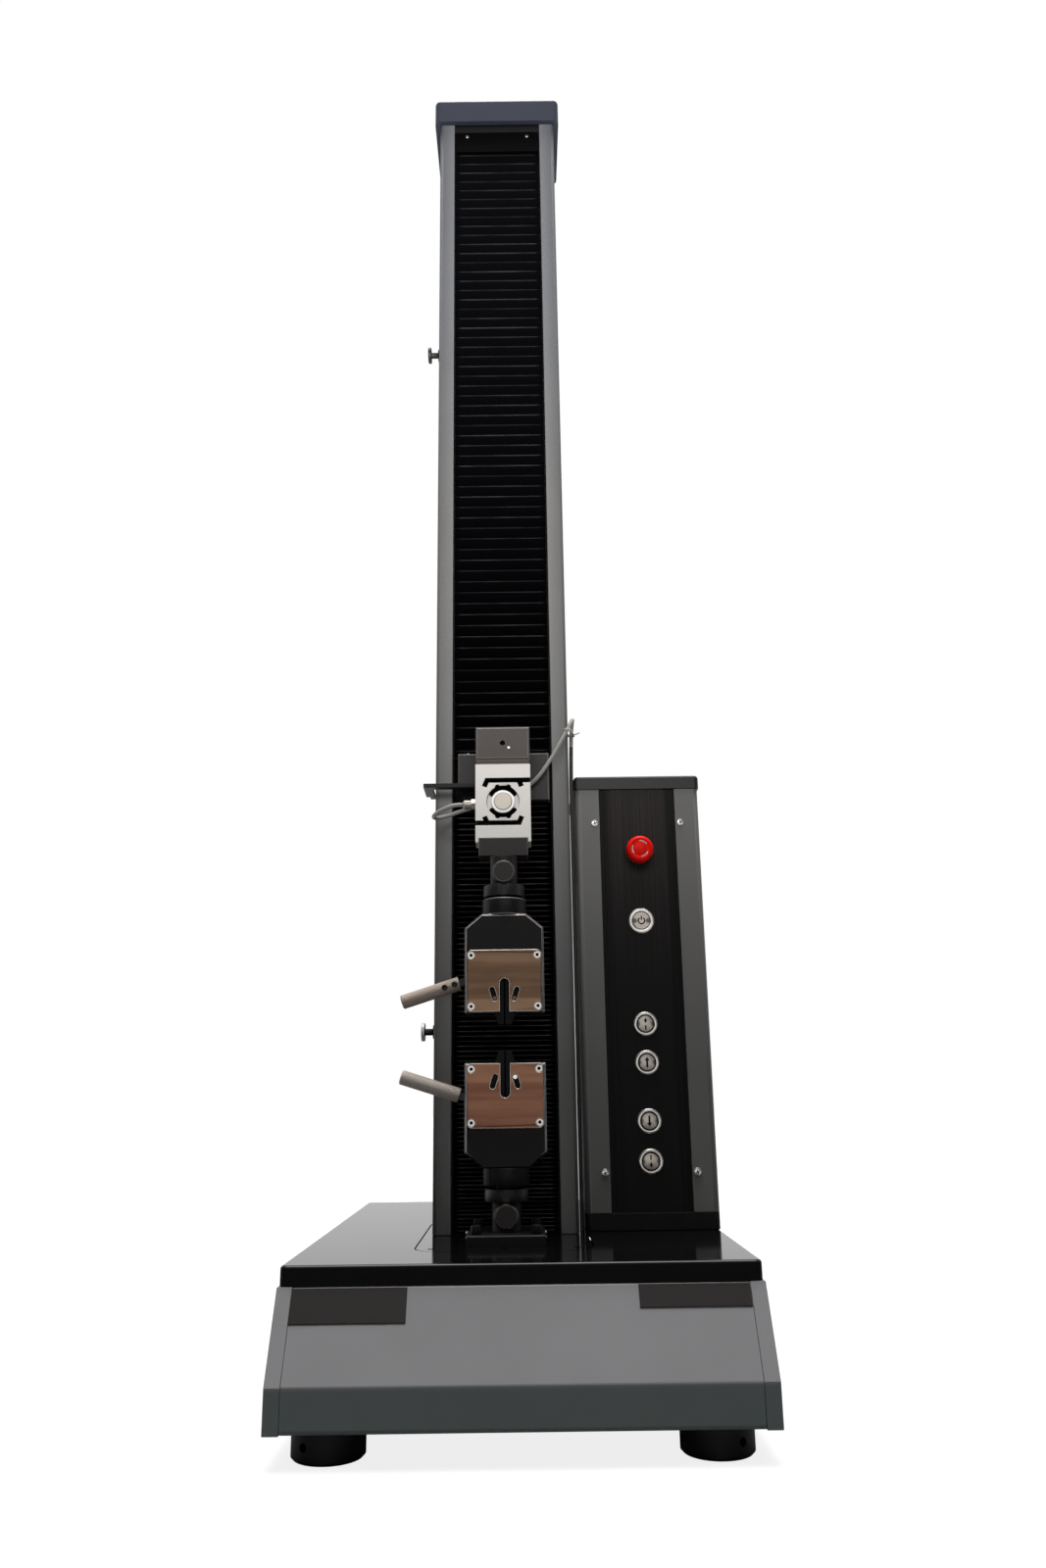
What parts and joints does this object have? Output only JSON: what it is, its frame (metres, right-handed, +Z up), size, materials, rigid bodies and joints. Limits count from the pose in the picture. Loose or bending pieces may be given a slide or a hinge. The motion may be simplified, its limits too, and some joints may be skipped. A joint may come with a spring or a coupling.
{
  "type": "universal testing machine",
  "caption": "Single-column benchtop universal testing machine with wedge grips, load cell, bellows-guarded crosshead, control tower and levelling feet.",
  "frame": {"origin": "on the floor under the middle of the base, z = 0 at the feet", "axes": "+Z up the column, -Y to the front where the grips are, +X to the operator's right"},
  "size_m": [0.403, 0.584, 1.522],
  "materials": {
    "black_paint": "gloss black",
    "grey_paint": "satin grey",
    "frame_steel": "ground",
    "motor_paint": "matt black",
    "bellows_cloth": "coated cloth",
    "cover_steel": "brushed",
    "knurled_steel": "knurled",
    "bright_steel": "bright turned",
    "black_steel": "black oxide",
    "cell_aluminium": "machined",
    "dark_aluminium": "black anodised",
    "foot_rubber": "moulded",
    "black_plastic": "moulded",
    "red_plastic": "moulded",
    "cable_sheath": "smooth sheath"
  },
  "bodies": {
    "frame": {"base_cover": "black_paint", "column_cap": "black_paint", "tower_cap": "black_paint", "tower_plinth": "black_paint", "base_frame": "black_paint", "front_panel": "grey_paint", "left_cheek": "grey_paint", "right_cheek": "grey_paint", "rear_panel": "grey_paint", "column_shell": "grey_paint", "tower_shell": "grey_paint", "guide_rails": "frame_steel", "screw_bearings": "frame_steel", "drive_motor": "motor_paint", "bellows_upper": "bellows_cloth", "bellows_lower": "bellows_cloth", "lower_grip_cover": "cover_steel", "button_bezels": "bright_steel", "lower_grip_body": "black_steel", "lower_socket": "black_steel", "socket_screws": "black_steel", "tower_panel": "dark_aluminium", "mains_inlet": "black_plastic", "cable_drop": "cable_sheath"},
    "crosshead": {"carriage": "cell_aluminium", "carriage_plate": "dark_aluminium", "trip_arm": "dark_aluminium", "cell_holder": "dark_aluminium", "load_cell": "cell_aluminium", "cell_gland": "bright_steel", "upper_socket": "black_steel", "upper_grip_body": "black_steel", "upper_grip_cover": "cover_steel", "cell_cable": "cable_sheath"},
    "ball_screw": {"ball_screw": "frame_steel"},
    "upper_lever": {"upper_lever": "knurled_steel"},
    "lower_lever": {"lower_lever": "knurled_steel"},
    "upper_left_jaw": {"upper_left_jaw": "black_steel"},
    "upper_right_jaw": {"upper_right_jaw": "black_steel"},
    "lower_left_jaw": {"lower_left_jaw": "black_steel"},
    "lower_right_jaw": {"lower_right_jaw": "black_steel"},
    "upper_clevis_pin": {"upper_clevis_pin": "black_steel"},
    "lower_clevis_pin": {"lower_clevis_pin": "black_steel"},
    "upper_lock_ring": {"upper_lock_ring": "black_steel"},
    "lower_lock_ring": {"lower_lock_ring": "black_steel"},
    "upper_limit_stop": {"upper_limit_stop": "black_steel"},
    "lower_limit_stop": {"lower_limit_stop": "black_steel"},
    "upper_limit_knob": {"upper_limit_knob": "bright_steel"},
    "lower_limit_knob": {"lower_limit_knob": "bright_steel"},
    "stop_button_stem": {"stop_button_stem": "black_plastic"},
    "stop_button_head": {"stop_button_head": "red_plastic"},
    "power_button": {"power_button": "bright_steel"},
    "fast_up_button": {"fast_up_button": "bright_steel"},
    "up_button": {"up_button": "bright_steel"},
    "down_button": {"down_button": "bright_steel"},
    "fast_down_button": {"fast_down_button": "bright_steel"},
    "front_left_foot": {"front_left_foot": "foot_rubber"},
    "front_right_foot": {"front_right_foot": "foot_rubber"},
    "rear_left_foot": {"rear_left_foot": "foot_rubber"},
    "rear_right_foot": {"rear_right_foot": "foot_rubber"}
  },
  "joints": [
    {"name": "crosshead_slide", "type": "slide", "parent": "frame", "child": "crosshead", "axis": [0, 0, 1], "range_m": [-0.02, 0.54], "deforming": ["bellows_upper", "bellows_lower", "cable_drop"]},
    {"name": "ball_screw_turn", "type": "hinge", "parent": "frame", "child": "ball_screw", "pos_m": [-0.0155, 0, 0.2], "axis": [0, 0, 1], "continuous": true},
    {"name": "upper_lever_turn", "type": "hinge", "parent": "crosshead", "child": "upper_lever", "pos_m": [-0.0448, -0.117, 0.389], "axis": [0, 1, 0], "range_deg": [0, 40]},
    {"name": "upper_left_jaw_slide", "type": "slide", "parent": "crosshead", "child": "upper_left_jaw", "axis": [-0.3007, 0, 0.9537], "range_m": [-0.0001, 0.0088]},
    {"name": "upper_right_jaw_slide", "type": "slide", "parent": "crosshead", "child": "upper_right_jaw", "axis": [0.3007, 0, 0.9537], "range_m": [-0.0001, 0.0088]},
    {"name": "upper_clevis_pin_pull", "type": "slide", "parent": "crosshead", "child": "upper_clevis_pin", "axis": [0, -1, 0], "range_m": [0, 0.05]},
    {"name": "upper_lock_ring_turn", "type": "hinge", "parent": "crosshead", "child": "upper_lock_ring", "pos_m": [-0.0138, -0.117, 0.476], "axis": [0, 0, 1], "range_deg": [-90, 90]},
    {"name": "lower_lever_turn", "type": "hinge", "parent": "frame", "child": "lower_lever", "pos_m": [-0.0448, -0.117, 0.272], "axis": [0, -1, 0], "range_deg": [0, 40]},
    {"name": "lower_left_jaw_slide", "type": "slide", "parent": "frame", "child": "lower_left_jaw", "axis": [-0.3007, 0, -0.9537], "range_m": [-0.0001, 0.0088]},
    {"name": "lower_right_jaw_slide", "type": "slide", "parent": "frame", "child": "lower_right_jaw", "axis": [0.3007, 0, -0.9537], "range_m": [-0.0001, 0.0088]},
    {"name": "lower_clevis_pin_pull", "type": "slide", "parent": "frame", "child": "lower_clevis_pin", "axis": [0, -1, 0], "range_m": [0, 0.05]},
    {"name": "lower_lock_ring_turn", "type": "hinge", "parent": "frame", "child": "lower_lock_ring", "pos_m": [-0.0138, -0.117, 0.185], "axis": [0, 0, 1], "range_deg": [-90, 90]},
    {"name": "upper_limit_stop_slide", "type": "slide", "parent": "frame", "child": "upper_limit_stop", "axis": [0, 0, 1], "range_m": [-0.5, 0.25]},
    {"name": "upper_limit_knob_turn", "type": "hinge", "parent": "upper_limit_stop", "child": "upper_limit_knob", "pos_m": [-0.0985, -0.041, 1.164], "axis": [1, 0, 0], "range_deg": [-90, 90]},
    {"name": "lower_limit_stop_slide", "type": "slide", "parent": "frame", "child": "lower_limit_stop", "axis": [0, 0, 1], "range_m": [-0.15, 0.2]},
    {"name": "lower_limit_knob_turn", "type": "hinge", "parent": "lower_limit_stop", "child": "lower_limit_knob", "pos_m": [-0.0985, -0.041, 0.341], "axis": [1, 0, 0], "range_deg": [-90, 90]},
    {"name": "stop_button_press", "type": "slide", "parent": "frame", "child": "stop_button_stem", "axis": [0, 1, 0], "range_m": [0, 0.004], "stiffness_N_per_m": 1500, "springref_m": -0.002},
    {"name": "stop_button_twist", "type": "hinge", "parent": "stop_button_stem", "child": "stop_button_head", "pos_m": [0.13225, -0.0592, 0.53], "axis": [0, 1, 0], "range_deg": [0, 45]},
    {"name": "power_button_press", "type": "slide", "parent": "frame", "child": "power_button", "axis": [0, 1, 0], "range_m": [0, 0.002], "stiffness_N_per_m": 1000, "springref_m": -0.002},
    {"name": "fast_up_button_press", "type": "slide", "parent": "frame", "child": "fast_up_button", "axis": [0, 1, 0], "range_m": [0, 0.002], "stiffness_N_per_m": 1000, "springref_m": -0.002},
    {"name": "up_button_press", "type": "slide", "parent": "frame", "child": "up_button", "axis": [0, 1, 0], "range_m": [0, 0.002], "stiffness_N_per_m": 1000, "springref_m": -0.002},
    {"name": "down_button_press", "type": "slide", "parent": "frame", "child": "down_button", "axis": [0, 1, 0], "range_m": [0, 0.002], "stiffness_N_per_m": 1000, "springref_m": -0.002},
    {"name": "fast_down_button_press", "type": "slide", "parent": "frame", "child": "fast_down_button", "axis": [0, 1, 0], "range_m": [0, 0.002], "stiffness_N_per_m": 1000, "springref_m": -0.002},
    {"name": "front_left_foot_turn", "type": "hinge", "parent": "frame", "child": "front_left_foot", "pos_m": [-0.156, -0.248, 0.012], "axis": [0, 0, 1], "continuous": true},
    {"name": "front_right_foot_turn", "type": "hinge", "parent": "frame", "child": "front_right_foot", "pos_m": [0.156, -0.248, 0.012], "axis": [0, 0, 1], "continuous": true},
    {"name": "rear_left_foot_turn", "type": "hinge", "parent": "frame", "child": "rear_left_foot", "pos_m": [-0.156, 0.248, 0.012], "axis": [0, 0, 1], "continuous": true},
    {"name": "rear_right_foot_turn", "type": "hinge", "parent": "frame", "child": "rear_right_foot", "pos_m": [0.156, 0.248, 0.012], "axis": [0, 0, 1], "continuous": true}
  ],
  "couplings": [
    {"joint": "ball_screw_turn", "follows": "crosshead_slide", "rad_per_m": 628.32},
    {"joint": "upper_left_jaw_slide", "follows": "upper_lever_turn", "m_per_rad": 0.01216},
    {"joint": "upper_right_jaw_slide", "follows": "upper_lever_turn", "m_per_rad": 0.01216},
    {"joint": "lower_left_jaw_slide", "follows": "lower_lever_turn", "m_per_rad": 0.01216},
    {"joint": "lower_right_jaw_slide", "follows": "lower_lever_turn", "m_per_rad": 0.01216}
  ]
}
